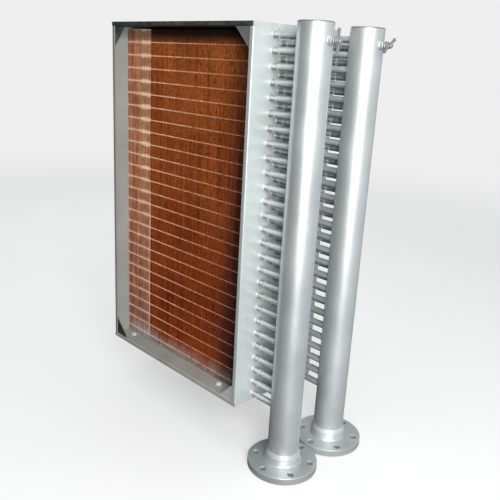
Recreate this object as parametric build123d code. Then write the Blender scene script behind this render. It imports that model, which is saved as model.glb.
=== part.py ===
# Air heat exchanger coil: a sheet casing round a block of fins and tubes, with
# two upright pipe headers on the right-hand side.
# X runs left to right, Y from the front (air side) to the back, Z up.
# The origin is the centre of the casing's underside. All sizes are in millimetres.
import math
import os

from build123d import *

# casing
CASING_WIDTH = 618.0       # across the outer faces of the end plates
CASING_HEIGHT = 1039.0
SHEET = 2.5                # thickness of every folded sheet
FOLD_RADIUS = 4.0          # outside of a fold
RETURN_WIDTH = 12.0        # edges of the end plates folded inward
PAN_HEIGHT = 12.0          # top and bottom plates, over their turned edges
GUSSET_REACH = 77.0        # from the casing's corner to where the slanted edge would meet it

# fins and tubes
AIR_RECESS = 55.0          # front of the casing to the front of the fins
BACK_RECESS = 8.0
TUBE_PITCH = 38.1          # between tubes of one row, upward
ROW_PITCH = 33.0           # between rows, front to back
ROW_COUNT = 8
TUBE_RADIUS = 8.0
FIN_GROOVE_PITCH = 12.0
FIN_GROOVE_WIDTH = 7.0
FIN_GROOVE_DEPTH = 6.0
BEND_LEG = 6.0             # straight part of a return bend
BEND_INSET = 12.0          # how far each corner of the bend is drawn in
BEND_SIDES = 4             # flats round a bend, few because there are so many of them
STUB_SIDES = 5

# headers
HEADER_OFFSET = 121.4      # header axis from the right end plate's outer face
HEADER_RADIUS = 44.45
HEADER_WALL = 3.2
HEADER_RISE = 5.0          # end caps above the casing's top
CAP_THICKNESS = 5.0
HEADER_SPREAD = 3.0        # each header stands this far outside the middle of its two rows
STUB_RADIUS = 9.0
FLANGE_BOTTOM = -159.0
FLANGE_RADIUS = 100.0
FLANGE_THICKNESS = 20.0
FLANGE_BOLT_CIRCLE = 160.0
FLANGE_HOLE_COUNT = 6
FLANGE_HOLE_RADIUS = 9.0
NECK_RADIUS = 51.0         # the neck that rises from the flange to the pipe
NECK_STRAIGHT = 20.0
NECK_SLOPE = 14.0          # height of the sloping part, which ends at the pipe
FLANGE_CLEARANCE = 0.3     # between the pipe and the flange's bore

# vent cocks, lying along X
VENT_DROP = 43.0           # vent axis below the header's top
SOCKET_RADIUS = 10.0
SOCKET_LENGTH = 12.0
BODY_ACROSS_FLATS = 18.0
BODY_LENGTH = 11.0
SPINDLE_RADIUS = 4.0
SPINDLE_DEPTH = 8.0        # how far the spindle reaches into the body
RUNNING_CLEARANCE = 0.08   # radial, round the spindle in the body
FACE_GAP = 0.3             # between faces that turn past each other
HANDLE_THICKNESS = 5.0
HANDLE_LENGTH = 56.0
HANDLE_TIP_RADIUS = 4.8
HANDLE_WAIST_RADIUS = 3.0
HANDLE_HUB_RADIUS = 8.0
HANDLE_CLEARANCE = 0.2     # radial, between the handle and the spindle
SPINDLE_HEAD_ACROSS_FLATS = 11.0
SPINDLE_HEAD_LENGTH = 7.0
FRONT_HANDLE_ANGLE = 90.0  # from level, as the handles stand in the picture
REAR_HANDLE_ANGLE = 38.0

# bolts through the bottom plate
BOLT_FROM_LEFT = 60.0
BOLT_FROM_RIGHT = 110.0
BOLT_FROM_FRONT = 38.5
BOLT_RADIUS = 5.0
BOLT_HOLE_RADIUS = 5.5
BOLT_HEAD_ACROSS_FLATS = 17.0
BOLT_HEAD_HEIGHT = 6.4
NUT_HEIGHT = 8.0
NUT_CLEARANCE = 0.2
BOLT_END_Z = 0.6

HALF_WIDTH = CASING_WIDTH / 2
INNER_HALF = HALF_WIDTH - SHEET
CASING_DEPTH = AIR_RECESS + ROW_COUNT * ROW_PITCH + BACK_RECESS
FRONT = -CASING_DEPTH / 2
FIN_FRONT = FRONT + AIR_RECESS
FIN_BACK = FIN_FRONT + ROW_COUNT * ROW_PITCH
# tubes in rows 1, 3, 5 and 7; the other rows have one fewer
LEVEL_COUNT = int((CASING_HEIGHT - 2 * PAN_HEIGHT) / TUBE_PITCH + 0.5)
FIN_HEIGHT = (LEVEL_COUNT - 0.5) * TUBE_PITCH
HEADER_X = HALF_WIDTH + HEADER_OFFSET
HEADER_TOP = CASING_HEIGHT + HEADER_RISE
HEADER_YS = {
    "front": FIN_FRONT + ROW_PITCH - HEADER_SPREAD,
    "rear": FIN_BACK - ROW_PITCH + HEADER_SPREAD,
}
VENT_Z = HEADER_TOP - VENT_DROP
BOLT_XS = (BOLT_FROM_LEFT - HALF_WIDTH, HALF_WIDTH - BOLT_FROM_RIGHT)


def block(x_span, y_span, z_span):
    """A box between three pairs of limits."""
    spans = (x_span, y_span, z_span)
    sizes = [high - low for low, high in spans]
    middles = [(high + low) / 2 for low, high in spans]
    return Pos(*middles) * Box(*sizes)


def upright(radius, low, high):
    """A round bar standing on z = low."""
    return Pos(0, 0, low) * Cylinder(radius, high - low, align=(Align.CENTER, Align.CENTER, Align.MIN))


def along_x(radius, start, end):
    """A round bar lying along X."""
    bar = Cylinder(radius, end - start, align=(Align.CENTER, Align.CENTER, Align.MIN))
    return Pos(start, 0, 0) * Rot(0, 90, 0) * bar


def hexagon(across_flats, length):
    """A six-sided bar standing on z = 0."""
    return extrude(RegularPolygon(across_flats / 2, 6, major_radius=False), length)


def row_y(row):
    return FIN_FRONT + (row - 0.5) * ROW_PITCH


def levels(row):
    """Heights of the tubes in one row; even rows lie half a pitch higher."""
    first = PAN_HEIGHT + TUBE_PITCH / 4
    if row % 2 == 0:
        return [first + (i + 0.5) * TUBE_PITCH for i in range(LEVEL_COUNT - 1)]
    return [first + i * TUBE_PITCH for i in range(LEVEL_COUNT)]


def end_plate(side):
    """Upright side of the casing with its front and back edges folded inward."""
    edge_x = HALF_WIDTH - RETURN_WIDTH
    web_x = HALF_WIDTH - SHEET / 2
    fold_y = -FRONT - SHEET / 2
    corners = [(edge_x, -fold_y), (web_x, -fold_y), (web_x, fold_y), (edge_x, fold_y)]
    profile = trace(FilletPolyline(*corners, radius=FOLD_RADIUS - SHEET / 2), SHEET)
    plate = extrude(profile, CASING_HEIGHT)
    # the folds stop short of both ends to leave room for the top and bottom plates
    for low, high in ((0, PAN_HEIGHT), (CASING_HEIGHT - PAN_HEIGHT, CASING_HEIGHT)):
        plate -= block((edge_x - SHEET, INNER_HALF), (FRONT, -FRONT), (low, high))
    return plate if side > 0 else mirror(plate, about=Plane.YZ)


def folded_tray(half_x, half_y, height, fold_radius):
    """A closed tray's outside or inside, its long upper edges rounded as folds."""
    body = block((-half_x, half_x), (-half_y, half_y), (0, height))
    return fillet(body.edges().filter_by(Axis.X).group_by(Axis.Z)[-1], fold_radius)


def bottom_plate():
    """Shallow tray with its four edges turned down."""
    outside = folded_tray(INNER_HALF, -FRONT, PAN_HEIGHT, FOLD_RADIUS)
    inside = folded_tray(INNER_HALF - SHEET, -FRONT - SHEET, PAN_HEIGHT - SHEET, FOLD_RADIUS - SHEET)
    return outside - inside


def drilled_bottom_plate():
    plate = bottom_plate()
    for x in BOLT_XS:
        plate -= Pos(x, FRONT + BOLT_FROM_FRONT, 0) * upright(BOLT_HOLE_RADIUS, 0, PAN_HEIGHT)
    return plate


def top_plate():
    tray = mirror(bottom_plate(), about=Plane.XY)
    return Pos(0, 0, CASING_HEIGHT) * tray


def corner_gussets():
    """Flat corner plates just behind the folded front edges."""
    leg = GUSSET_REACH - FOLD_RADIUS - PAN_HEIGHT
    middle = CASING_HEIGHT / 2
    corner = (HALF_WIDTH - FOLD_RADIUS, middle - PAN_HEIGHT)
    outline = Polyline(corner, (corner[0] - leg, corner[1]), (corner[0], corner[1] - leg), close=True)
    plate = extrude(Plane.XZ * make_face(outline), SHEET, dir=(0, 1, 0))
    plate = Pos(0, FRONT + SHEET, 0) * plate
    right = [plate, mirror(plate, about=Plane.XY)]
    left = [mirror(g, about=Plane.YZ) for g in right]
    return [Pos(0, 0, middle) * g for g in right + left]


def fin_pack():
    """The fins as one block, with upright grooves across its front."""
    count = int(2 * INNER_HALF // FIN_GROOVE_PITCH)
    start = -count * FIN_GROOVE_PITCH / 2
    floor = FIN_FRONT + FIN_GROOVE_DEPTH
    points = [(-INNER_HALF, FIN_BACK), (-INNER_HALF, FIN_FRONT)]
    for i in range(count):
        left = start + i * FIN_GROOVE_PITCH + (FIN_GROOVE_PITCH - FIN_GROOVE_WIDTH) / 2
        right = left + FIN_GROOVE_WIDTH
        points += [(left, FIN_FRONT), (left, floor), (right, floor), (right, FIN_FRONT)]
    points += [(INNER_HALF, FIN_FRONT), (INNER_HALF, FIN_BACK)]
    block_of_fins = extrude(make_face(Polyline(*points, close=True)), FIN_HEIGHT)
    return Pos(0, 0, PAN_HEIGHT) * block_of_fins


def return_bend(side):
    """Bend that joins two tubes, two rows apart, outside one end plate."""
    reach = side * (BEND_LEG + ROW_PITCH)
    behind = -side * BEND_INSET
    slope = BEND_INSET / abs(reach)
    start_y = ROW_PITCH + BEND_INSET * slope
    path = Polyline(
        (behind, -start_y, 0),
        (reach, BEND_INSET - ROW_PITCH, 0),
        (reach, ROW_PITCH - BEND_INSET, 0),
        (behind, start_y, 0),
    )
    section = RegularPolygon(TUBE_RADIUS, BEND_SIDES)
    outline = Plane(origin=path @ 0, x_dir=(0, 0, 1), z_dir=path % 0) * section
    tube = sweep(outline, path, transition=Transition.RIGHT)
    span = sorted((0, 2 * reach))
    return tube & block(span, (-2 * ROW_PITCH, 2 * ROW_PITCH), (-TUBE_RADIUS, TUBE_RADIUS))


def bends(side, first_row):
    """All bends between one row and the next but one."""
    bend = return_bend(side)
    middle = row_y(first_row + 1)
    return [Pos(side * HALF_WIDTH, middle, z) * bend for z in levels(first_row)]


def stubs(header, row):
    """Short tubes from the right end plate to a header, cut to lie against the pipe."""
    across = row_y(row) - HEADER_YS[header]
    back = math.sqrt(HEADER_RADIUS**2 - across**2)
    touch = Plane(origin=(HEADER_X - back, row_y(row), 0), z_dir=(-back, across, 0))
    outline = Plane(origin=(HALF_WIDTH, row_y(row), 0), z_dir=(1, 0, 0)) * RegularPolygon(STUB_RADIUS, STUB_SIDES)
    bar = extrude(outline, HEADER_X - HALF_WIDTH)
    bar = split(bar, bisect_by=touch, keep=Keep.TOP)
    return [Pos(0, 0, z) * bar for z in levels(row)]


def header_pipe():
    top = HEADER_TOP - CAP_THICKNESS
    return upright(HEADER_RADIUS, FLANGE_BOTTOM, top) - upright(HEADER_RADIUS - HEADER_WALL, FLANGE_BOTTOM, top)


def header_cap():
    """Disc that closes the top of the pipe."""
    return upright(HEADER_RADIUS, HEADER_TOP - CAP_THICKNESS, HEADER_TOP)


def header_flange():
    """Round flange with a neck that narrows to the pipe, turned from half of its section."""
    rim_top = FLANGE_BOTTOM + FLANGE_THICKNESS
    neck_top = rim_top + NECK_STRAIGHT
    bore = HEADER_RADIUS + FLANGE_CLEARANCE
    section = Polyline(
        (bore, FLANGE_BOTTOM),
        (FLANGE_RADIUS, FLANGE_BOTTOM),
        (FLANGE_RADIUS, rim_top),
        (NECK_RADIUS, rim_top),
        (NECK_RADIUS, neck_top),
        (bore, neck_top + NECK_SLOPE),
        close=True,
    )
    flange = revolve(Plane.XZ * make_face(section), Axis.Z)
    step = 360 / FLANGE_HOLE_COUNT
    for place in PolarLocations(FLANGE_BOLT_CIRCLE / 2, FLANGE_HOLE_COUNT, start_angle=step / 2):
        flange -= place * upright(FLANGE_HOLE_RADIUS, FLANGE_BOTTOM, rim_top)
    return flange


def butterfly():
    """Flat handle with two wings that widen towards their round tips, standing on z = 0."""
    tip_y = HANDLE_LENGTH / 2 - HANDLE_TIP_RADIUS
    shape = Circle(HANDLE_HUB_RADIUS)
    for side in (-1, 1):
        tip = Pos(0, side * tip_y) * Circle(HANDLE_TIP_RADIUS)
        waist = Pos(0, side * HANDLE_HUB_RADIUS) * Circle(HANDLE_WAIST_RADIUS)
        shape += make_hull(tip.edges() + waist.edges())
    return extrude(shape, HANDLE_THICKNESS)


def vent_parts(handle_angle):
    """Socket, body, spindle and handle of one vent cock, at the header's axis and z = 0."""
    body_start = HEADER_RADIUS + SOCKET_LENGTH
    body_end = body_start + BODY_LENGTH
    handle_start = body_end + FACE_GAP
    handle_end = handle_start + HANDLE_THICKNESS
    spindle_start = body_end - SPINDLE_DEPTH
    socket = along_x(SOCKET_RADIUS, HEADER_RADIUS, body_start)
    body = Pos(body_start, 0, 0) * Rot(0, 90, 0) * hexagon(BODY_ACROSS_FLATS, BODY_LENGTH)
    body -= along_x(SPINDLE_RADIUS + RUNNING_CLEARANCE, spindle_start - FACE_GAP, body_end)
    spindle = along_x(SPINDLE_RADIUS, spindle_start, handle_end)
    head = hexagon(SPINDLE_HEAD_ACROSS_FLATS, SPINDLE_HEAD_LENGTH)
    spindle += Pos(handle_end, 0, 0) * Rot(0, 90, 0) * head
    handle = Pos(handle_start, 0, 0) * Rot(0, 90, 0) * butterfly()
    handle -= along_x(SPINDLE_RADIUS + HANDLE_CLEARANCE, handle_start, handle_end)
    return {
        "socket": socket,
        "body": body,
        "spindle": spindle,
        "handle": Rot(handle_angle, 0, 0) * handle,
    }


def base_bolt():
    """Bolt with its head on the bottom plate's upper face, at x = y = 0."""
    head = Pos(0, 0, PAN_HEIGHT) * hexagon(BOLT_HEAD_ACROSS_FLATS, BOLT_HEAD_HEIGHT)
    return head + upright(BOLT_RADIUS, BOLT_END_Z, PAN_HEIGHT)


def base_nut():
    nut_top = PAN_HEIGHT - SHEET
    nut = Pos(0, 0, nut_top - NUT_HEIGHT) * hexagon(BOLT_HEAD_ACROSS_FLATS, NUT_HEIGHT)
    return nut - upright(BOLT_RADIUS + NUT_CLEARANCE, 0, nut_top)


def all_nodes():
    nodes = {
        "left_end_plate": [end_plate(-1)],
        "right_end_plate": [end_plate(1)],
        "top_plate": [top_plate()],
        "bottom_plate": [drilled_bottom_plate()],
        "corner_gussets": corner_gussets(),
        "fin_pack": [fin_pack()],
        "base_bolts": [Pos(x, FRONT + BOLT_FROM_FRONT, 0) * base_bolt() for x in BOLT_XS],
        "base_nuts": [Pos(x, FRONT + BOLT_FROM_FRONT, 0) * base_nut() for x in BOLT_XS],
    }
    for row in (1, 2, 5, 6):
        nodes[f"left_bends_row_{row}_to_{row + 2}"] = bends(-1, row)
    for row in (3, 4):
        nodes[f"right_bends_row_{row}_to_{row + 2}"] = bends(1, row)
    rows = {"front": (1, 2), "rear": (ROW_COUNT - 1, ROW_COUNT)}
    angles = {"front": FRONT_HANDLE_ANGLE, "rear": REAR_HANDLE_ANGLE}
    shared = {"header_caps": [], "header_flanges": [], "vent_sockets": [], "vent_bodies": []}
    for header, y in HEADER_YS.items():
        for row in rows[header]:
            nodes[f"{header}_header_stubs_row_{row}"] = stubs(header, row)
        place = Pos(HEADER_X, y, 0)
        nodes[f"{header}_header_pipe"] = [place * header_pipe()]
        shared["header_caps"].append(place * header_cap())
        shared["header_flanges"].append(place * header_flange())
        vent = vent_parts(angles[header])
        vent_place = Pos(HEADER_X, y, VENT_Z)
        shared["vent_sockets"].append(vent_place * vent["socket"])
        shared["vent_bodies"].append(vent_place * vent["body"])
        nodes[f"{header}_vent_spindle"] = [vent_place * vent["spindle"]]
        nodes[f"{header}_vent_handle"] = [vent_place * vent["handle"]]
    return nodes | shared


os.makedirs("parts", exist_ok=True)
for name, pieces in all_nodes().items():
    solids = [solid for piece in pieces for solid in piece.solids()]
    shape = solids[0] if len(solids) == 1 else Compound(children=solids)
    export_step(shape, f"parts/{name}.step")
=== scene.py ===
import math
import random

import bpy
from mathutils import Matrix, Vector
from mathutils.geometry import tessellate_polygon


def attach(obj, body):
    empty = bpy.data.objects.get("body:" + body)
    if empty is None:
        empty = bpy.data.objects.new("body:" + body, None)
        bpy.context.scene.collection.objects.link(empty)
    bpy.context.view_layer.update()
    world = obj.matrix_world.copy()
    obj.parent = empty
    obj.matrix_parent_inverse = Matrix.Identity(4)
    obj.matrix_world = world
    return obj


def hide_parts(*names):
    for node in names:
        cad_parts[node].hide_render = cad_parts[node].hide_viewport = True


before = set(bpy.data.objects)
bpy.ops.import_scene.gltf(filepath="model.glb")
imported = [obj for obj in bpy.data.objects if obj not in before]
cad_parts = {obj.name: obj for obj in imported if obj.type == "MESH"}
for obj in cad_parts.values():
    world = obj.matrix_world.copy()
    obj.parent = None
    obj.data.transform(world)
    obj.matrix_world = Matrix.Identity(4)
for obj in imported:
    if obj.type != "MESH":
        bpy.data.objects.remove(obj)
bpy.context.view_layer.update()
rng = random.Random(7)

# sizes in millimetres, in the row frame
W, D, H = 618.0, 327.0, 1039.0
HW, IN, FRONT, SHEET = W / 2, W / 2 - 2.5, -D / 2, 2.5
PAN = 12.0
FIN_Y0, FIN_Y1 = FRONT + 55, FRONT + 55 + 264
FIN_Z0, FIN_Z1 = 12.0, 1021.65
PITCH, ROW = 38.1, 33.0
HX, HR = 430.4, 44.45
HY = {"front": FIN_Y0 + 30, "rear": FIN_Y1 - 30}
FLANGE_Z, TOP_Z, VENT_Z = -159.0, 1044.0, 1001.0


# materials
class Mat:
    """A material made of nodes, with short names for the ones used here."""

    def __init__(self, name, metallic, rough):
        self.m = bpy.data.materials.new(name)
        self.m.use_nodes = True
        self.t = self.m.node_tree
        self.bsdf = self.t.nodes["Principled BSDF"]
        self.bsdf.inputs["Metallic"].default_value = metallic
        self.bsdf.inputs["Roughness"].default_value = rough
        tc = self.t.nodes.new("ShaderNodeTexCoord")
        self.co = tc.outputs["Object"]
        sep = self.t.nodes.new("ShaderNodeSeparateXYZ")
        self.t.links.new(self.co, sep.inputs[0])
        self.x, self.y, self.z = sep.outputs

    def put(self, value, socket):
        if isinstance(value, bpy.types.NodeSocket):
            self.t.links.new(value, socket)
        else:
            socket.default_value = value

    def math(self, op, a, b=0.0, c=0.0, clamp=False):
        n = self.t.nodes.new("ShaderNodeMath")
        n.operation, n.use_clamp = op, clamp
        for v, s in zip((a, b, c), n.inputs):
            self.put(v, s)
        return n.outputs[0]

    def noise(self, scale, detail=4.0, rough=0.55, stretch=(1, 1, 1), shift=(0, 0, 0)):
        mp = self.t.nodes.new("ShaderNodeMapping")
        mp.inputs["Scale"].default_value = stretch
        mp.inputs["Location"].default_value = shift
        self.t.links.new(self.co, mp.inputs["Vector"])
        n = self.t.nodes.new("ShaderNodeTexNoise")
        n.inputs["Scale"].default_value = scale
        n.inputs["Detail"].default_value = detail
        n.inputs["Roughness"].default_value = rough
        self.t.links.new(mp.outputs[0], n.inputs["Vector"])
        return n.outputs["Fac"]

    def span(self, v, low, high, out0=0.0, out1=1.0, kind="LINEAR"):
        n = self.t.nodes.new("ShaderNodeMapRange")
        n.interpolation_type = kind
        n.clamp = True
        for k, val in (("Value", v), ("From Min", low), ("From Max", high), ("To Min", out0), ("To Max", out1)):
            self.put(val, n.inputs[k])
        return n.outputs[0]

    def mix(self, fac, a, b, mode="MIX"):
        n = self.t.nodes.new("ShaderNodeMix")
        n.data_type, n.blend_type = "RGBA", mode
        self.put(fac, n.inputs[0])
        for v, s in ((a, n.inputs[6]), (b, n.inputs[7])):
            self.put((*v, 1.0) if isinstance(v, tuple) else v, s)
        return n.outputs[2]

    def color(self, v):
        self.put(v, self.bsdf.inputs["Base Color"])

    def rough(self, v):
        self.put(v, self.bsdf.inputs["Roughness"])

    def metal(self, v):
        self.put(v, self.bsdf.inputs["Metallic"])

    def bump(self, height, distance=0.0005, strength=0.4):
        n = self.t.nodes.new("ShaderNodeBump")
        n.inputs["Strength"].default_value = strength
        n.inputs["Distance"].default_value = distance
        self.t.links.new(height, n.inputs["Height"])
        self.t.links.new(n.outputs[0], self.bsdf.inputs["Normal"])


def silver(name, light, dark, metallic=0.4, rough=0.42, grime=0.25, bump=0.15):
    """Sprayed silver paint: cloudy brightness, faint drips, a little grime."""
    m = Mat(name, metallic, rough)
    clouds = m.noise(7.0, 5.0)
    drips = m.noise(26.0, 3.0, stretch=(1, 1, 0.12), shift=(3, 1, 0))
    grain = m.noise(620.0, 2.0)
    base = m.mix(m.span(clouds, 0.35, 0.7), dark, light)
    base = m.mix(m.span(drips, 0.62, 0.78, 0.0, grime), base, tuple(c * 0.62 for c in light))
    m.base = m.mix(m.span(grain, 0.35, 0.75, 0.0, 0.16), base, tuple(c * 0.8 for c in light))
    m.color(m.base)
    m.rough(m.span(clouds, 0.3, 0.75, rough - 0.07, rough + 0.09))
    m.bump(m.math("ADD", m.math("MULTIPLY", grain, 0.5), clouds), 0.0004, bump)
    return m


def end_plate_paint_and_shade():
    """Silver with a warm haze where the tubes come through and a few dull smears; painted shade on the front fold and
    on the left plate.
    """
    m = silver("end_plate_paint_and_shade", (0.68, 0.74, 0.73), (0.61, 0.67, 0.66))
    haze = m.math("MULTIPLY", m.span(m.y, -0.118, -0.098, 0.0, 1.0), m.span(m.noise(22.0, 4.0), 0.42, 0.66))
    shade = m.mix(m.math("MULTIPLY", haze, 0.55), m.base, (0.46, 0.43, 0.37))
    smear = m.noise(5.0, 5.0, 0.7, stretch=(1, 1.6, 0.5), shift=(0, 2, 7))
    shade = m.mix(m.span(smear, 0.60, 0.74, 0.0, 0.4), shade, (0.42, 0.46, 0.46))
    # painted shade on the front fold of the end plates, which also dims the lamp's highlight there
    fold = m.span(m.y, -0.1605, -0.1625, 0.0, 0.5)
    shade = m.mix(fold, shade, (0.30, 0.33, 0.32))
    # painted shade: the left end plate, seen on its recessed inner face, is painted darker and warmer than the right
    # one
    m.color(m.mix(m.span(m.x, -0.01, 0.01, 1.0, 0.0), shade, m.mix(1.0, shade, (0.76, 0.72, 0.68), "MULTIPLY")))
    return m


def pan_paint_and_shade():
    """Silver pans, slightly warm: a painted reflection of the copper fins. The upper one's front edge is painted
    near-black and its underside black, as painted shade.
    """
    m = silver("pan_paint_and_shade", (0.50, 0.50, 0.47), (0.40, 0.40, 0.375), 0.35, 0.5, 0.5, 0.3)
    # painted shade: the top pan's front-facing edge is painted near-black, in random blotches
    edge = m.math("MULTIPLY", m.span(m.y, -0.1622, -0.1600, 1.0, 0.0), m.span(m.z, 0.98, 1.0))
    worn = m.span(m.noise(60.0, 5.0, 0.65, stretch=(0.5, 1, 1)), 0.35, 0.7)
    edge_shade = m.mix(worn, (0.028, 0.031, 0.027), (0.12, 0.13, 0.125))
    # painted shadow: the underside of the top pan is painted black
    underside_shade = m.math("MULTIPLY", m.span(m.z, 1.0288, 1.0280), m.span(m.z, 0.98, 1.0))
    m.color(m.mix(underside_shade, m.mix(edge, m.base, edge_shade), (0.020, 0.020, 0.017)))
    return m


def gusset_paint():
    """Each corner plate is painted with its own light and shade: painted shade above, darkest painted shade low left,
    painted light low right; with cloudy blotches and splashes.
    """
    m = silver("gusset_paint", (0.24, 0.26, 0.262), (0.15, 0.165, 0.162), 0.3, 0.5, 0.3, 0.3)
    low = m.span(m.z, 0.49, 0.51, 1.0, 0.0)
    right = m.span(m.x, -0.01, 0.01, 0.0, 1.0)
    clouds = m.span(m.noise(34.0, 5.0, 0.65, shift=(1, 4, 2)), 0.4, 0.68)
    dark_shaded_blotches = m.mix(clouds, (0.038, 0.042, 0.036), (0.15, 0.16, 0.148))
    splash = m.span(m.noise(75.0, 3.0, 0.7, shift=(7, 0, 1)), 0.66, 0.72, 0.0, 0.7)
    # painted shade on the upper plates, darkest at the left, with random light splashes
    top = m.mix(splash, m.mix(right, dark_shaded_blotches, m.base), (0.36, 0.38, 0.36))
    # painted shade on the lower left plate, painted light on the lower right one
    bottom = m.mix(right, m.mix(clouds, (0.026, 0.029, 0.026), (0.075, 0.082, 0.078)), m.mix(clouds, (0.48, 0.52, 0.52), (0.60, 0.64, 0.64)))
    m.color(m.mix(low, top, bottom))
    return m


LINE_Z, LINE_PITCH = 0.0317, 0.0381
MASK_EDGE, MASK_BAND, SEAM_X = -0.185, -0.232, -0.128


def copper_fins(name, crease=False):
    """Bare copper: paler left of a sharp vertical edge, with pale peach patches along the crease lines and a grey band
    along the bottom; painted shadow at the right end and under the top plate. With crease set, a brighter, pinker
    copper for the crease lines: a painted highlight.
    """
    m = Mat(name, 0.35, 0.5)
    streak = m.noise(1.0, 2.0, 0.65, stretch=(190, 20, 2.5))
    dash = m.noise(1.0, 2.0, 0.6, stretch=(260, 30, 60), shift=(1, 0, 4))
    broad = m.noise(6.0, 3.0)
    dots = m.noise(1.0, 1.0, 0.5, stretch=(250, 60, 190), shift=(5, 0, 2))
    if crease:
        # painted highlight: the crease lines are a brighter, pinker copper than the fins, lighter still towards the
        # left
        dark, mid, light = (0.52, 0.17, 0.07), (0.95, 0.42, 0.20), (1.0, 0.72, 0.47)
        dotted = m.noise(1.0, 1.0, 0.5, stretch=(110, 20, 26), shift=(2, 0, 9))
        base = m.mix(m.span(dotted, 0.30, 0.60), dark, mid)
        base = m.mix(m.span(dots, 0.50, 0.60, 0.0, 0.9), base, light)
        base = m.mix(m.span(m.x, -0.02, -0.18, 0.0, 0.45), base, light)
        right_painted_shadow, top_shadow_strength = m.span(m.x, -0.10, 0.30, 0.0, 0.78), 0.25
    else:
        dark, mid, light = (0.19, 0.038, 0.007), (0.47, 0.108, 0.019), (0.74, 0.235, 0.048)
        base = m.mix(m.span(streak, 0.38, 0.60), dark, mid)
        base = m.mix(m.span(broad, 0.35, 0.75, 0.0, 0.40), base, light)
        base = m.mix(m.span(dash, 0.50, 0.64, 0.0, 0.50), base, (0.12, 0.022, 0.006))
        base = m.mix(m.span(dots, 0.58, 0.68, 0.0, 0.70), base, (0.05, 0.011, 0.004))
        seam = m.span(m.math("ABSOLUTE", m.math("SUBTRACT", m.x, SEAM_X)), 0.0015, 0.003, 0.4, 0.0)
        base = m.mix(seam, base, (0.06, 0.014, 0.006))
        # redder towards the bottom
        base = m.mix(m.span(m.z, 0.85, 0.25, 0.0, 0.95), base, m.mix(1.0, base, (0.86, 0.60, 0.52), "MULTIPLY"))
        reach = m.math("ADD", m.x, m.math("MULTIPLY", m.math("SUBTRACT", 1.0, m.z), 0.07))
        right_painted_shadow, top_shadow_strength = m.math("MULTIPLY", m.span(reach, 0.19, 0.30), 0.93), 0.97
    # painted shadow of the right end plate's recess: the copper goes dark purple towards the right end, over a wider
    # span on the crease lines and wider low down on the fins
    base = m.mix(right_painted_shadow, base, (0.060, 0.024, 0.027))
    # painted shadow just under the top plate, weaker at the far left
    top_shadow_edge = m.math("ADD", m.z, m.math("MULTIPLY", streak, 0.014))
    top_painted_shadow = m.span(top_shadow_edge, 0.984, 1.019, kind="SMOOTHSTEP")
    top_painted_shadow = m.math("MULTIPLY", top_painted_shadow, m.span(m.x, -0.17, -0.2, top_shadow_strength, top_shadow_strength * 0.5))
    base = m.mix(top_painted_shadow, base, (0.012, 0.008, 0.005))
    # paler zones, in metres of the row frame: left of a sharp vertical edge, with pale peach patches along the crease
    # lines in a band, a haze further left, and a grey band along the bottom
    turn = m.math("FRACT", m.math("ADD", m.math("DIVIDE", m.math("SUBTRACT", m.z, LINE_Z), LINE_PITCH), 0.5))
    away = m.math("ABSOLUTE", m.math("SUBTRACT", turn, 0.5))
    patchy = m.noise(34.0, 3.0, 0.6, stretch=(1, 1, 0.9), shift=(0, 3, 0))
    ragged = m.noise(1.0, 2.0, 0.6, stretch=(420, 20, 50), shift=(0, 3, 6))
    wobble = m.math("ADD", m.math("MULTIPLY", patchy, 0.30), m.math("MULTIPLY", ragged, 0.14))
    near_line = m.span(m.math("ADD", away, wobble), 0.27, 0.43, 1.0, 0.0)
    upper = m.span(m.z, 0.36, 0.62)
    masked = m.span(m.x, MASK_EDGE - 0.0006, MASK_EDGE + 0.0006, 1.0, 0.0)
    band = m.span(m.x, MASK_BAND - 0.004, MASK_BAND + 0.002, 0.0, 1.0)
    patches = m.math("MULTIPLY", near_line, m.span(upper, 0.0, 1.0, 0.32, 1.0))
    between = m.math("MULTIPLY", m.span(ragged, 0.35, 0.62, 0.5, 1.6), m.span(upper, 0.0, 1.0, 0.22, 0.26))
    in_band = m.math("MULTIPLY", band, m.math("ADD", patches, between))
    left_haze = m.span(m.noise(30.0, 4.0, 0.65, stretch=(2.6, 1, 0.3)), 0.36, 0.66, 0.06, 0.50)
    left_haze = m.math("ADD", left_haze, m.math("MULTIPLY", near_line, m.span(ragged, 0.4, 0.62, 0.0, 0.6)))
    outside = m.math("MULTIPLY", m.math("SUBTRACT", 1.0, band), left_haze)
    pale_overlay = m.math("MULTIPLY", masked, m.math("ADD", in_band, outside))
    edge_line = m.span(m.math("ABSOLUTE", m.math("SUBTRACT", m.x, MASK_EDGE + 0.001)), 0.0012, 0.0024, 1.0, 0.0)
    edge_line = m.math("MULTIPLY", edge_line, m.span(m.z, 0.42, 0.58, 0.85, 0.0))
    wave = m.math("MULTIPLY", m.noise(14.0, 3.0), 0.05)
    low = m.span(m.math("ADD", m.z, wave), 0.032, 0.098, 1.0, 0.0)
    low = m.math("MULTIPLY", low, m.span(m.noise(1.0, 2.0, 0.5, stretch=(260, 30, 8)), 0.3, 0.62, 0.35, 1.0))
    pale_overlay = m.math("ADD", m.math("ADD", pale_overlay, edge_line), m.math("MULTIPLY", low, 0.85), clamp=True)
    streaky = m.span(streak, 0.3, 0.62, 0.6, 1.1)
    pale_overlay = m.math("MULTIPLY", pale_overlay, m.math("MULTIPLY", streaky, m.span(m.y, -0.1085, -0.1, 1.0, 0.0)), clamp=True)
    tint = m.mix(m.span(m.z, 0.07, 0.2), (0.62, 0.57, 0.52), (1.0, 0.73, 0.49))
    tint = m.mix(m.span(m.x, MASK_BAND - 0.03, MASK_BAND, 0.55, 0.0), tint, (0.66, 0.42, 0.34))
    shade = m.mix(pale_overlay, base, tint)
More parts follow.
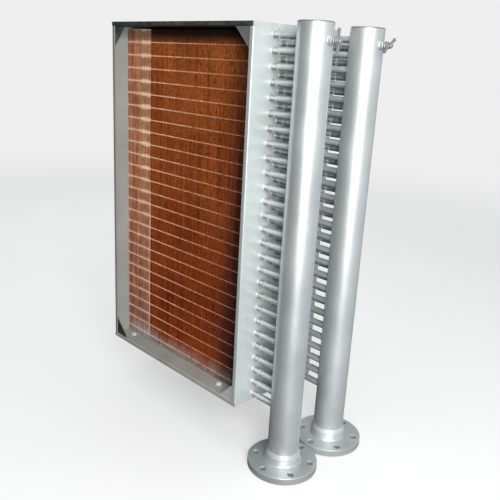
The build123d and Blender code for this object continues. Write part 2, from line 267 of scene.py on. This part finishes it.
    # grey and dark specks where the fins meet the tray
    foot = m.math("MULTIPLY", m.span(m.z, 0.030, 0.024), m.span(m.y, -0.1075, -0.1, 1.0, 0.0))
    specks = m.noise(1.0, 1.0, 0.5, stretch=(330, 60, 330), shift=(9, 0, 2))
    foot_shade = m.mix(m.span(specks, 0.44, 0.56), (0.38, 0.36, 0.33), (0.09, 0.083, 0.075))
    m.color(m.mix(m.math("MULTIPLY", foot, 0.7), shade, foot_shade))
    m.metal(m.span(pale_overlay, 0.0, 1.0, 0.1 if crease else 0.35, 0.05))
    m.rough(m.span(streak, 0.3, 0.7, 0.42, 0.6))
    m.bump(dots, 0.0003, 0.25)
    return m


def cap_paint():
    """Header paint with a dull line round the rounded edge of the end cap."""
    m = silver("cap_paint", (0.66, 0.70, 0.70), (0.59, 0.63, 0.63), 0.70, 0.44, 0.1)
    line = m.math("MULTIPLY", m.span(m.z, 1.0405, 1.0418), m.span(m.z, 1.0440, 1.0434))
    m.color(m.mix(m.math("MULTIPLY", line, 0.85), m.base, (0.16, 0.17, 0.175)))
    return m


def tube_paint():
    """Silver with painted shade: the undersides painted dark, and the far row of tubes at each header painted darker in
    broken rings.
    """
    m = silver("tube_paint", (0.62, 0.66, 0.665), (0.42, 0.45, 0.46), 0.5, 0.38, 0.35, 0.4)
    sep = m.t.nodes.new("ShaderNodeSeparateXYZ")
    m.t.links.new(m.t.nodes.new("ShaderNodeNewGeometry").outputs["Normal"], sep.inputs[0])
    # painted shade on the undersides of the tubes
    underside_shade = m.span(sep.outputs[2], 0.05, -0.75, 0.0, 0.8)
    shade = m.mix(underside_shade, m.base, (0.10, 0.108, 0.11))
    # painted shade on the far row of each header
    second = m.math("MULTIPLY", m.span(m.y, -0.078, -0.073), m.span(m.y, -0.045, -0.040, 1.0, 0.0))
    far_row_shade = m.math("ADD", second, m.span(m.y, 0.120, 0.126), clamp=True)
    rings = m.span(m.noise(1.0, 2.0, 0.6, stretch=(120, 6, 9)), 0.40, 0.60, 0.55, 0.20)
    m.color(m.mix(m.math("MULTIPLY", far_row_shade, rings), shade, (0.12, 0.13, 0.132)))
    return m


CASING = end_plate_paint_and_shade().m
PAN_PAINT = pan_paint_and_shade().m
HEADER = silver("header_paint", (0.66, 0.70, 0.70), (0.59, 0.63, 0.63), 0.70, 0.44, 0.1).m
TUBE = tube_paint().m
CAP = cap_paint().m
BEAD = silver("bead_paint", (0.64, 0.68, 0.68), (0.47, 0.50, 0.50), 0.35, 0.48, 0.15, 0.5).m
GUSSET = gusset_paint().m
VENT = silver("vent_paint", (0.40, 0.42, 0.43), (0.17, 0.18, 0.185), 0.5, 0.4, 0.5, 0.4).m
BOLT = silver("bolt_paint", (0.84, 0.85, 0.82), (0.62, 0.62, 0.60), 0.3, 0.4, 0.2, 0.3).m
COPPER = copper_fins("fin_copper_and_painted_shadow").m
CREASE = copper_fins("fin_crease_painted_highlight", True).m


# meshes
class Piece:
    """Points in millimetres and faces, gathered into one object."""

    def __init__(self):
        self.v, self.f, self.m = [], [], []

    def add(self, verts, faces, mat=0):
        n = len(self.v)
        self.v += [tuple(p) for p in verts]
        self.f += [tuple(i + n for i in f) for f in faces]
        self.m += [mat] * len(faces)

    def box(self, x, y, z, mat=0):
        p = [(a, b, c) for a in x for b in y for c in z]
        self.add(p, [(0, 1, 3, 2), (4, 6, 7, 5), (0, 4, 5, 1), (2, 3, 7, 6), (0, 2, 6, 4), (1, 5, 7, 3)], mat)

    def prism(self, outline, axes, low, high, mat=0):
        """A flat outline in two axes, raised along the third."""
        a, b = axes
        c = 3 - a - b
        pts = []
        for h in (low, high):
            for p, q in outline:
                v = [0, 0, 0]
                v[a], v[b], v[c] = p, q, h
                pts.append(v)
        n = len(outline)
        self.add(pts, [(i, (i + 1) % n, (i + 1) % n + n, i + n) for i in range(n)], mat)
        tris = tessellate_polygon([[Vector((*p, 0)) for p in outline]])
        self.add(pts, [tuple(t) for t in tris] + [tuple(i + n for i in t[::-1]) for t in tris], mat)

    def lathe(self, profile, origin, axis, n=32, mat=0, turn=0.0):
        """profile is (along the axis, radius); its two ends are closed flat."""
        k = "XYZ".index(axis)
        u, w = [(1, 2), (2, 0), (0, 1)][k]
        pts = []
        for s, r in profile:
            for i in range(n):
                t = 2 * math.pi * (i + turn) / n
                v = list(origin)
                v[k] += s
                v[u] += r * math.cos(t)
                v[w] += r * math.sin(t)
                pts.append(v)
        faces = []
        for j in range(len(profile) - 1):
            for i in range(n):
                a, b = j * n + i, j * n + (i + 1) % n
                faces.append((a, b, b + n, a + n))
        faces.append(tuple(range(n))[::-1])
        last = (len(profile) - 1) * n
        faces.append(tuple(range(last, last + n)))
        self.add(pts, faces, mat)

    def sweep(self, path, radius, n=14, mat=0):
        """A round tube along a path that lies level."""
        pts = []
        for j, p in enumerate(path):
            a, b = path[max(j - 1, 0)], path[min(j + 1, len(path) - 1)]
            d = (Vector(b) - Vector(a)).normalized()
            side = Vector((-d.y, d.x, 0))
            for i in range(n):
                t = 2 * math.pi * i / n
                q = Vector(p) + side * (radius * math.cos(t)) + Vector((0, 0, radius * math.sin(t)))
                pts.append(q)
        faces = [
            (j * n + i, j * n + (i + 1) % n, (j + 1) * n + (i + 1) % n, (j + 1) * n + i)
            for j in range(len(path) - 1)
            for i in range(n)
        ]
        self.add(pts, faces, mat)

    def done(self, name, mats, nodes=(), body="coil", sharp=32):
        me = bpy.data.meshes.new(name)
        me.from_pydata([(a / 1000, b / 1000, c / 1000) for a, b, c in self.v], [], self.f)
        for m in mats:
            me.materials.append(m)
        me.polygons.foreach_set("material_index", self.m)
        me.validate()
        import bmesh
        bm = bmesh.new()
        bm.from_mesh(me)
        bmesh.ops.recalc_face_normals(bm, faces=bm.faces)
        bm.to_mesh(me)
        bm.free()
        me.shade_smooth()
        me.set_sharp_from_angle(angle=math.radians(sharp))
        ob = bpy.data.objects.new(name, me)
        bpy.context.scene.collection.objects.link(ob)
        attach(ob, body)
        if nodes:
            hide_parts(*nodes)
        return ob


def strip(points, thick, radius, steps=5):
    """Outline of a folded sheet of the given centre line, with round folds."""
    line = []
    for i, p in enumerate(points):
        p = Vector(p)
        if i in (0, len(points) - 1):
            line.append(p)
            continue
        a = (Vector(points[i - 1]) - p).normalized()
        b = (Vector(points[i + 1]) - p).normalized()
        centre = p + (a + b) * radius
        start, end = p + a * radius - centre, p + b * radius - centre
        for k in range(steps + 1):
            t = k / steps * math.pi / 2
            line.append(centre + start * math.cos(t) + end * math.sin(t))
    left, right = [], []
    for i, p in enumerate(line):
        d = (line[min(i + 1, len(line) - 1)] - line[max(i - 1, 0)]).normalized()
        nrm = Vector((-d.y, d.x)) * (thick / 2)
        left.append(tuple(p + nrm))
        right.append(tuple(p - nrm))
    return left + right[::-1]


def levels(row):
    first = PAN + PITCH / 4
    if row % 2 == 0:
        return [first + (i + 0.5) * PITCH for i in range(26)]
    return [first + i * PITCH for i in range(27)]


def row_y(row):
    return FIN_Y0 + (row - 0.5) * ROW


# casing
HALF = SHEET / 2
for side, name in ((-1, "left_end_plate"), (1, "right_end_plate")):
    p = Piece()
    x = side * (HW - HALF)
    fold = side * (HW - 12.0)
    centre = [(fold, FRONT + HALF), (x, FRONT + HALF), (x, -FRONT - HALF), (fold, -FRONT - HALF)]
    p.prism(strip(centre, SHEET, 2.6), (0, 1), PAN, H - PAN)
    span = sorted((side * IN, side * HW))
    p.box(span, (FRONT, -FRONT), (0, PAN))
    p.box(span, (FRONT, -FRONT), (H - PAN, H))
    p.done(name + "_sheet", [CASING], [name])

for low, up, name in ((True, 1, "bottom_plate"), (False, -1, "top_plate")):
    p = Piece()

    def z(v):
        return v if low else H - v
    centre = [(FRONT + HALF, z(0)), (FRONT + HALF, z(PAN - HALF)), (-FRONT - HALF, z(PAN - HALF)), (-FRONT - HALF, z(0))]
    p.prism(strip(centre, SHEET, 2.6), (1, 2), -IN, IN)
    for s in (-1, 1):
        p.box(sorted((s * IN, s * (IN - SHEET))), (FRONT + SHEET, -FRONT - SHEET), sorted((z(0), z(PAN - SHEET))))
    p.done(name + "_sheet", [PAN_PAINT], [name])

p = Piece()
GUSSET_CORNER, LEG = HW - 4.0, 61.0
for sx in (-1, 1):
    for low in (True, False):
        z0 = PAN if low else H - PAN
        k = 1 if low else -1
        tri = [
            (sx * GUSSET_CORNER, z0),
            (sx * (GUSSET_CORNER - LEG), z0),
            (sx * (GUSSET_CORNER - LEG + 1), z0 + k * 1.6),
            (sx * (GUSSET_CORNER - 1.6), z0 + k * (LEG - 1)),
            (sx * GUSSET_CORNER, z0 + k * LEG),
        ]
        p.prism(tri, (0, 2), FRONT + SHEET, FRONT + 2 * SHEET)
p.done("gusset_plates", [GUSSET], ["corner_gussets"])

# fins
FINS = 245
STEP = 2 * IN / FINS
p = Piece()
stations = [FIN_Z0] + [PAN + PITCH / 4 + i * PITCH / 2 - PITCH / 4 + 0.4 for i in range(1, 53)] + [FIN_Z1]
for i in range(FINS):
    x = -IN + (i + 0.5) * STEP
    lean = rng.uniform(-0.35, 0.35)
    y0 = FIN_Y0 + rng.uniform(0.0, 0.7)
    pts = []
    for j, z in enumerate(stations):
        dx = 0.0 if j in (0,) else lean + rng.uniform(-0.4, 0.4)
        for a, y in ((-0.16, FIN_Y0 + 14), (-0.16 + dx, y0), (0.16 + dx, y0), (0.16, FIN_Y0 + 14)):
            pts.append((x + a, y, z))
    faces = []
    for j in range(len(stations) - 1):
        for k in range(3):
            faces.append((j * 4 + k, j * 4 + k + 1, j * 4 + k + 5, j * 4 + k + 4))
    p.add(pts, faces)
    p.box((x - 0.16, x + 0.16), (FIN_Y0 + 14, FIN_Y1), (FIN_Z0, FIN_Z1))
p.done("thin_fins", [COPPER], ["fin_pack"], sharp=40)

p = Piece()
for n in range(26):
    z = 31.7 + n * PITCH
    for i in range(FINS - 1):
        x = -IN + (i + 0.5) * STEP
        h = rng.uniform(1.2, 1.95) * (1.35 if rng.random() < 0.06 else 1)
        y = FIN_Y0 + rng.uniform(0.05, 0.4)
        p.box((x, x + STEP * rng.uniform(0.8, 1.0)), (y, y + 1.2), (z - h, z + h))
p.done("fin_creases", [CREASE], ["fin_pack"])

# the ripples of the fins close the view through the pack
RIPPLE_DEPTH = 60.0
p = Piece()
p.box((-IN, IN), (FIN_Y0 + RIPPLE_DEPTH, FIN_Y1 - RIPPLE_DEPTH), (FIN_Z0, FIN_Z1))
p.done("fin_ripples", [COPPER], ["fin_pack"])

p = Piece()
for row in (1, 8):
    for z in levels(row):
        p.lathe([(-IN, 8.0), (IN, 8.0)], (0, row_y(row), z), "X", 20)
p.done("fin_tubes", [COPPER], ["fin_pack"])

# bends
for side, rows in ((-1, (1, 2, 5, 6)), (1, (3, 4))):
    for row in rows:
        p = Piece()
        for z in levels(row):
            mid = row_y(row + 1)
            path = [(side * HW, mid - ROW, z)]
            for k in range(13):
                t = math.pi * k / 12
                path.append((side * (HW + 6 + ROW * math.sin(t)), mid - ROW * math.cos(t), z))
            path.append((side * HW, mid + ROW, z))
            p.sweep(path, 7.4)
            for y in (mid - ROW, mid + ROW):
                ring = [(0.0, 9.6), (1.2, 9.4), (2.6, 8.2)]
                p.lathe([(side * a, r) for a, r in ring], (side * HW, y, z), "X", 14)
        where = "left" if side < 0 else "right"
        node = f"{where}_bends_row_{row}_to_{row + 2}"
        p.done(f"{where}_u_bends_row_{row}", [TUBE], [node], sharp=50)

# stubs
for header, rows in (("front", (1, 2)), ("rear", (7, 8))):
    for row in rows:
        p = Piece()
        across = row_y(row) - HY[header]
        reach = HX - math.sqrt(HR**2 - (abs(across) + 9) ** 2) + 1.0 - HW
        for z in levels(row):
            o = (HW, row_y(row), z)
            bead = 23.5 + rng.uniform(-1.5, 1.5)
            r = 9.3 + rng.uniform(-0.15, 0.15)
            p.lathe([(0, 10.4), (1.0, 10.4), (2.4, 9.2), (3.4, 7.7)], o, "X", 20, 1)
            p.lathe([(3.0, 7.6), (bead - 2.5, 7.6), (bead - 1, 7.9)], o, "X", 20, 0)
            fat = rng.uniform(9.6, 10.3)
            p.lathe([(bead - 2.2, 7.7), (bead - 1.2, 8.8), (bead, fat - 0.3), (bead + 1.6, fat), (bead + 3.4, fat - 0.2), (bead + 4.6, r)], o, "X", 20, 1)
            p.lathe([(bead + 4, r), (reach, r)], o, "X", 20, 0)
        p.done(f"{header}_stub_tubes_row_{row}", [TUBE, BEAD], [f"{header}_header_stubs_row_{row}"], sharp=50)

# headers
def ring(p, r0, r1, z, n):
    """Points of a circle."""
    return [(r0 * math.cos(2 * math.pi * i / n), r0 * math.sin(2 * math.pi * i / n)) for i in range(n)]


for header, y in HY.items():
    p = Piece()
    wall = [(FLANGE_Z + 0.5, HR), (TOP_Z - 4.0, HR)]
    n = 72
    pts, faces = [], []
    for r, z in ((HR, FLANGE_Z + 0.5), (HR, TOP_Z - 4.2), (41.25, TOP_Z - 4.2), (41.25, FLANGE_Z + 0.5)):
        pts += [(HX + a, y + b, z) for a, b in ring(p, r, 0, 0, n)]
    for j in range(4):
        for i in range(n):
            a, b = j * n + i, j * n + (i + 1) % n
            c, d = (j + 1) % 4 * n + (i + 1) % n, (j + 1) % 4 * n + i
            faces.append((a, b, c, d))
    p.add(pts, faces)
    p.done(f"{header}_header_wall", [HEADER], [f"{header}_header_pipe"])

    p = Piece()
    cap = [(-4.4, HR + 0.02)]
    for k in range(7):
        t = math.pi / 2 * k / 6
        cap.append((-3.4 + 3.4 * math.sin(t), HR - 3.4 + 3.4 * math.cos(t)))
    p.lathe(cap, (HX, y, TOP_Z), "Z", n)
    p.done(f"{header}_header_end", [CAP], ["header_caps"])

    p = Piece()
    top = FLANGE_Z + 20
    outer = ring(p, 98.8, 0, 0, 96)
    holes = []
    for k in range(6):
        t = math.radians(30 + 60 * k)
        cx, cy = 80 * math.cos(t), 80 * math.sin(t)
        holes.append([(cx + a, cy + b) for a, b in ring(p, 9.9, 0, 0, 24)])
    bore = ring(p, 44.8, 0, 0, 96)
    loops = [outer, bore, *holes]
    flat = [Vector((a, b, 0)) for loop in loops for a, b in loop]
    tris = tessellate_polygon([[Vector((a, b, 0)) for a, b in loop] for loop in loops])
    for z in (top, FLANGE_Z):
        p.add([(HX + q.x, y + q.y, z) for q in flat], [tuple(t) for t in tris])

    def band(loop_a, za, loop_b, zb):
        m = len(loop_a)
        pts = [(HX + a, y + b, za) for a, b in loop_a] + [(HX + a, y + b, zb) for a, b in loop_b]
        p.add(pts, [(i, (i + 1) % m, (i + 1) % m + m, i + m) for i in range(m)])
    rim = ring(p, 99.98, 0, 0, 96)
    band(outer, top, rim, top - 1.2)
    band(rim, top - 1.2, rim, FLANGE_Z + 1.2)
    band(rim, FLANGE_Z + 1.2, outer, FLANGE_Z)
    band(bore, top, bore, FLANGE_Z)
    for k in range(6):
        t = math.radians(30 + 60 * k)
        cx, cy = 80 * math.cos(t), 80 * math.sin(t)
        inner = [(cx + a, cy + b) for a, b in ring(p, 9.0, 0, 0, 24)]
        band(holes[k], top, inner, top - 0.9)
        band(inner, top - 0.9, inner, FLANGE_Z + 0.9)
        band(inner, FLANGE_Z + 0.9, holes[k], FLANGE_Z)
    p.lathe([(0, 54.5), (0.8, 53.2), (2.4, 52.2), (5, 51.6), (19.0, 50.3), (20.2, 49.8)], (HX, y, top), "Z", 96)
    p.done(f"{header}_flange_and_neck", [HEADER], ["header_flanges"], sharp=28)
    p = Piece()
    bead = [(20.0, 49.9), (21.2, 50.3), (22.6, 50.2), (25.4, 49.0), (29.0, 47.2), (32.6, 45.9), (33.9, 44.6)]
    p.lathe(bead, (HX, y, top), "Z", 96)
    p.done(f"{header}_neck_weld", [BEAD], ["header_flanges"])

# vents
S0, B0, B1 = HX + HR, HX + HR + 12, HX + HR + 23
for header, y in HY.items():
    o = (0, y, VENT_Z)
    p = Piece()
    p.lathe([(S0 - 1.2, 12.2), (S0 + 1.4, 11.4), (S0 + 3.0, 9.9), (B0 - 0.8, 9.6), (B0, 8.9)], o, "X", 28)
    p.done(f"{header}_vent_boss", [HEADER], ["vent_sockets"])
    p = Piece()
    p.lathe([(B0, 9.3), (B0 + 0.9, 10.3), (B0 + 5.4, 10.3), (B0 + 6.2, 9.4)], o, "X", 6, turn=0.5)
    p.lathe([(B0 + 6.0, 7.6), (B0 + 8.0, 7.6), (B0 + 8.3, 8.8), (B1 - 0.4, 8.8), (B1, 8.3)], o, "X", 28)
    p.done(f"{header}_vent_cock_body", [VENT], ["vent_bodies"])
    moving = f"{header}_vent_cock"
    h0 = B1 + 0.3
    p = Piece()
    p.lathe([(B1 - 7.5, 3.9), (h0 + 5, 3.9)], o, "X", 24)
    p.lathe([(h0 + 5, 5.4), (h0 + 5.7, 6.2), (h0 + 9.6, 6.2), (h0 + 10.4, 5.4)], o, "X", 6, turn=0.5)
    p.lathe([(h0 + 10.3, 4.0), (h0 + 11.4, 3.4), (h0 + 11.95, 2.2)], o, "X", 20)
    p.done(f"{header}_vent_stem", [VENT], [f"{header}_vent_spindle"], moving)
    angle = math.radians(90 if header == "front" else 38)
    outline = []
    for s in (0, math.pi):
        wing = [(7.0, -3.9), (12, -2.9), (18, -3.0), (22.5, -4.4), (25.6, -4.7), (27.5, -3.2), (28.0, 0), (27.5, 3.2), (25.6, 4.7), (22.5, 4.4), (18, 3.0), (12, 2.9), (7.0, 3.9)]
        for a, b in wing:
            outline.append((a * math.cos(s) - b * math.sin(s), a * math.sin(s) + b * math.cos(s)))
        for k in range(1, 6):
            t = s + math.radians(29) + math.radians(122) * k / 6
            outline.append((8.0 * math.cos(t), 8.0 * math.sin(t)))
    c, d = math.cos(angle), math.sin(angle)
    turned = [(y + a * c - b * d, VENT_Z + a * d + b * c) for a, b in outline]
    p = Piece()
    p.prism(turned, (1, 2), h0 + 0.8, h0 + 4.2)
    p.lathe([(h0, 7.4), (h0 + 0.5, 7.9), (h0 + 4.5, 7.9), (h0 + 5.0, 7.4)], o, "X", 28)
    p.done(f"{header}_vent_lever", [VENT], [f"{header}_vent_handle"], moving)

# bolts
p = Piece()
q = Piece()
for x in (-249.0, 199.0):
    o = (x, FRONT + 38.5, 0)
    p.lathe([(12.0, 9.1), (16.6, 9.1), (18.4, 7.2)], o, "Z", 6, turn=0.3)
    p.lathe([(0.6, 4.8), (12.0, 4.8)], o, "Z", 20)
    q.lathe([(1.5, 8.0), (2.4, 9.2), (8.6, 9.2), (9.5, 8.0)], o, "Z", 6, turn=0.3)
p.done("bolt_heads", [BOLT], ["base_bolts"])
q.done("bolt_nuts", [BOLT], ["base_nuts"])

# floor, light, camera
PAPER = 0.86               # brightness of the far floor and the backdrop
FLOOR_Z = -0.1605
FAR = 30.0


def glow(name, color_socket=None):
    """A shader that gives off light, for the stage only."""
    m = bpy.data.materials.new(name)
    m.use_nodes = True
    m.cycles.emission_sampling = "NONE"
    m.node_tree.nodes.remove(m.node_tree.nodes["Principled BSDF"])
    return m


def backdrop_material():
    m = glow("backdrop_paper")
    t = m.node_tree
    co = t.nodes.new("ShaderNodeTexCoord")
    noise = t.nodes.new("ShaderNodeTexNoise")
    noise.inputs["Scale"].default_value = 0.05
    ramp = t.nodes.new("ShaderNodeMapRange")
    ramp.inputs["To Min"].default_value, ramp.inputs["To Max"].default_value = PAPER * 0.995, PAPER * 1.005
    em = t.nodes.new("ShaderNodeEmission")
    t.links.new(co.outputs["Object"], noise.inputs["Vector"])
    t.links.new(noise.outputs["Fac"], ramp.inputs["Value"])
    t.links.new(ramp.outputs[0], em.inputs["Color"])
    t.links.new(em.outputs[0], t.nodes["Material Output"].inputs["Surface"])
    return m


def floor_material():
    """Pale paper that takes the shadow near the coil and fades into the backdrop far away."""
    m = Mat("floor_paper", 0.0, 0.85)
    m.m.cycles.emission_sampling = "NONE"
    cloud = m.span(m.noise(2.0, 3.0), 0.3, 0.7)
    radius = m.math("SQRT", m.math("ADD", m.math("MULTIPLY", m.x, m.x), m.math("MULTIPLY", m.y, m.y)))
    far = m.span(radius, 0.8, 6.5, kind="SMOOTHERSTEP")
    m.color(m.mix(far, m.mix(cloud, (0.52, 0.52, 0.52), (0.54, 0.54, 0.54)), (0.0, 0.0, 0.0)))
    m.put(m.mix(far, (0.43, 0.43, 0.43), (PAPER, PAPER, PAPER)), m.bsdf.inputs["Emission Color"])
    m.bsdf.inputs["Emission Strength"].default_value = 1.0
    m.bsdf.inputs["Specular IOR Level"].default_value = 0.0
    return m.m


def stage(name, verts, faces, material):
    """Something only the camera sees: it neither lights nor shades the coil."""
    me = bpy.data.meshes.new(name)
    me.from_pydata(verts, [], faces)
    me.materials.append(material)
    ob = bpy.data.objects.new(name, me)
    ob.visible_diffuse = ob.visible_glossy = ob.visible_shadow = False
    bpy.context.scene.collection.objects.link(ob)


corners = [(-FAR, -FAR), (FAR, -FAR), (FAR, FAR), (-FAR, FAR)]
stage("floor", [(x, y, FLOOR_Z) for x, y in corners], [(0, 1, 2, 3)], floor_material())
RIM = 48
rim = [(FAR * 0.95 * math.cos(2 * math.pi * i / RIM), FAR * 0.95 * math.sin(2 * math.pi * i / RIM)) for i in range(RIM)]
wall = [(x, y, z) for z in (FLOOR_Z - 1, FAR) for x, y in rim]
sides = [(i, (i + 1) % RIM, (i + 1) % RIM + RIM, i + RIM) for i in range(RIM)]
stage("backdrop", wall, sides + [tuple(range(RIM, 2 * RIM))], backdrop_material())

# the studio round the coil: bright on the right, dim at the left front, soft above
world = bpy.data.worlds.new("studio")
world.use_nodes = True
wt = world.node_tree
BRIGHT_SIDE = math.radians(28)
SIDE_LOW, SIDE_HIGH, ABOVE, BELOW = 0.08, 0.62, 0.42, 0.09


def world_node(kind, inputs, **settings):
    n = wt.nodes.new(kind)
    for key, value in settings.items():
        setattr(n, key, value)
    for key, value in inputs.items():
        if isinstance(value, bpy.types.NodeSocket):
            wt.links.new(value, n.inputs[key])
        else:
            n.inputs[key].default_value = value
    return n


direction = wt.nodes.new("ShaderNodeTexCoord").outputs["Generated"]
aim = (math.cos(BRIGHT_SIDE), math.sin(BRIGHT_SIDE), 0.0)
facing = world_node("ShaderNodeVectorMath", {0: direction, 1: aim}, operation="DOT_PRODUCT").outputs["Value"]
axes = world_node("ShaderNodeSeparateXYZ", {0: direction}).outputs
side_light = world_node("ShaderNodeMapRange", {0: facing, 1: -0.45, 2: 0.95, 3: SIDE_LOW, 4: SIDE_HIGH}, interpolation_type="SMOOTHSTEP")
rise = world_node("ShaderNodeMapRange", {0: axes[2], 1: 0.15, 2: 0.85, 3: 0.0, 4: 1.0}, interpolation_type="SMOOTHSTEP")
fall = world_node("ShaderNodeMapRange", {0: axes[2], 1: -0.1, 2: -0.8, 3: 0.0, 4: 1.0}, interpolation_type="SMOOTHSTEP")
upper = world_node("ShaderNodeMix", {0: rise.outputs[0], 2: side_light.outputs[0], 3: ABOVE})
whole = world_node("ShaderNodeMix", {0: fall.outputs[0], 2: upper.outputs[0], 3: BELOW})
wt.links.new(whole.outputs[0], wt.nodes["Background"].inputs[1])
wt.nodes["Background"].inputs[0].default_value = (0.95, 0.98, 1.0, 1.0)
bpy.context.scene.world = world
bpy.context.scene.view_settings.view_transform = "Standard"


def lamp(name, place, aim, width, height, power, color=(1, 1, 1)):
    data = bpy.data.lights.new(name, "AREA")
    data.shape, data.size, data.size_y = "RECTANGLE", width, height
    data.energy, data.color = power, color
    ob = bpy.data.objects.new(name, data)
    ob.location = place
    ob.rotation_euler = (Vector(aim) - Vector(place)).to_track_quat("-Z", "Y").to_euler()
    ob.visible_camera = False
    bpy.context.scene.collection.objects.link(ob)
    return ob


lamp("key", (2.42, -1.56, 1.22), (0.25, 0.0, 0.55), 1.25, 2.3, 102)
lamp("overhead", (0.2, 0.0, 3.6), (0.2, 0.0, 0.0), 2.6, 2.6, 30)
lamp("back", (-2.6, 1.6, 1.8), (0.0, 0.0, 0.4), 1.4, 1.4, 16)

cam_data = bpy.data.cameras.new("camera")
cam_data.sensor_width = 36.0
cam_data.lens = 36.0 * 625.197 / 500
cam_data.shift_x = (250 - 249.678) / 500
cam_data.shift_y = (251.648 - 250) / 500
cam = bpy.data.objects.new("camera", cam_data)
turn = Matrix((
    (0.69386267, -0.24470925, 0.67725326),
    (0.71821673, 0.16706529, -0.67546571),
    (0.0521472, 0.95509506, 0.29167465),
))
cam.matrix_world = Matrix.Translation((1.440353, -1.263503, 0.9472)) @ turn.to_4x4()
bpy.context.scene.collection.objects.link(cam)
bpy.context.scene.camera = cam
